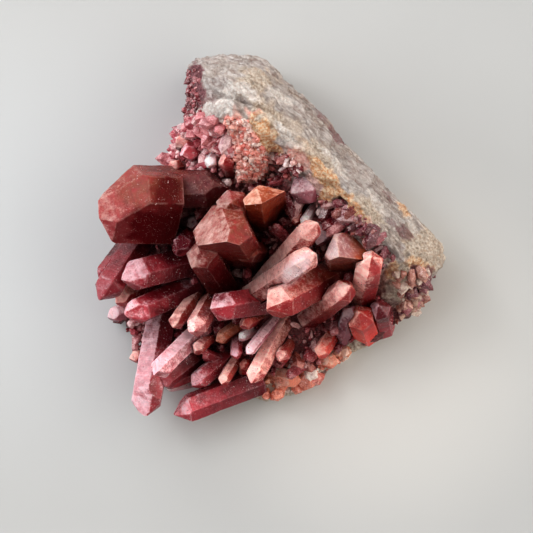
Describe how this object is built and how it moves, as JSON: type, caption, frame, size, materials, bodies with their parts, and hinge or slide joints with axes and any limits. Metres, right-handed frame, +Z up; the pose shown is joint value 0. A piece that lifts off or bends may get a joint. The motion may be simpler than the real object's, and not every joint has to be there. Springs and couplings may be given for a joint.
{
  "type": "red quartz crystal cluster",
  "caption": "Red quartz cluster: stout hexagonal crystals radiating from one piece of pale vein rock, flat underneath to rest on a surface.",
  "frame": {"origin": "centre of the bounding box at its base, on the surface that the rock rests on", "axes": "+Z up from the flat underside, +Y towards the blunt end of the rock wall, +X towards the wall's pointed corner"},
  "size_m": [0.0878, 0.0918, 0.0495],
  "materials": {
    "rock": "rough pale grey vein rock with ochre and pink stains",
    "rose": "dusty rose quartz faces, satin with a fine sugar of points",
    "wine": "dark wine-red quartz, satin to glassy",
    "rust": "rust-brown iron-stained quartz, satin",
    "lilac": "greyish lilac quartz, satin",
    "orange": "salmon-orange translucent quartz",
    "scarlet": "scarlet mottled translucent quartz",
    "clear": "nearly clear milky quartz splinter"
  },
  "bodies": {
    "root": {"matrix_rock": "rock", "pale_head_crystals": "rose", "orange_head_crystal": "rust", "great_left_crystal": "rose", "stepped_crystal": "rose", "near_pale_rod": "rose", "far_pale_rod": "rose", "ridge_foot_crystal": "rust", "upright_right_crystal": "rose", "round_tip_crystal": "rose", "mid_left_crystal": "wine", "glassy_stub": "rose", "pale_table_crystal": "wine", "left_pair": "wine", "kite_end_crystal": "wine", "pale_wedge": "rose", "lilac_left_crystal": "lilac", "long_front_prism": "wine", "slanting_prism": "wine", "slanting_prism_shadow_twin": "wine", "narrow_pale_crystal": "rose", "hidden_red_crystal": "wine", "mauve_blade": "lilac", "front_log": "wine", "pink_split_rod": "rose", "bright_lilac_rod": "lilac", "brown_rod": "wine", "button_crystal": "rose", "small_pale_crystal": "rose", "white_shard": "clear", "elbow_crystals": "rose", "red_bead_crystal": "wine", "brown_side_crystal": "rust", "front_pink_rod": "rose", "scarlet_bead": "scarlet", "front_red_pair": "wine", "front_left_red_crystal": "wine", "white_sliver": "clear", "left_edge_pair": "rose", "front_right_red_crystal": "scarlet", "orange_edge_pair": "orange", "orange_edge_slab": "orange", "scarlet_chunk": "scarlet", "maroon_chunk": "wine", "mauve_upright": "lilac", "ridge_mauve_lump": "lilac", "pale_needle": "clear", "shaded_mauve_crystal": "lilac", "small_ridge_crystal": "rose", "left_bank_upper_crystal": "rose", "left_bank_middle_crystal": "wine", "left_bank_lower_crystal": "rose", "left_bank_pale_crystal": "clear", "bank_twin_crystal": "rose", "upper_left_druse": "wine", "ridge_foot_druse": "wine", "corner_druse": "wine", "front_edge_druse": "wine", "left_bed_druse": "wine"}
  },
  "joints": []
}
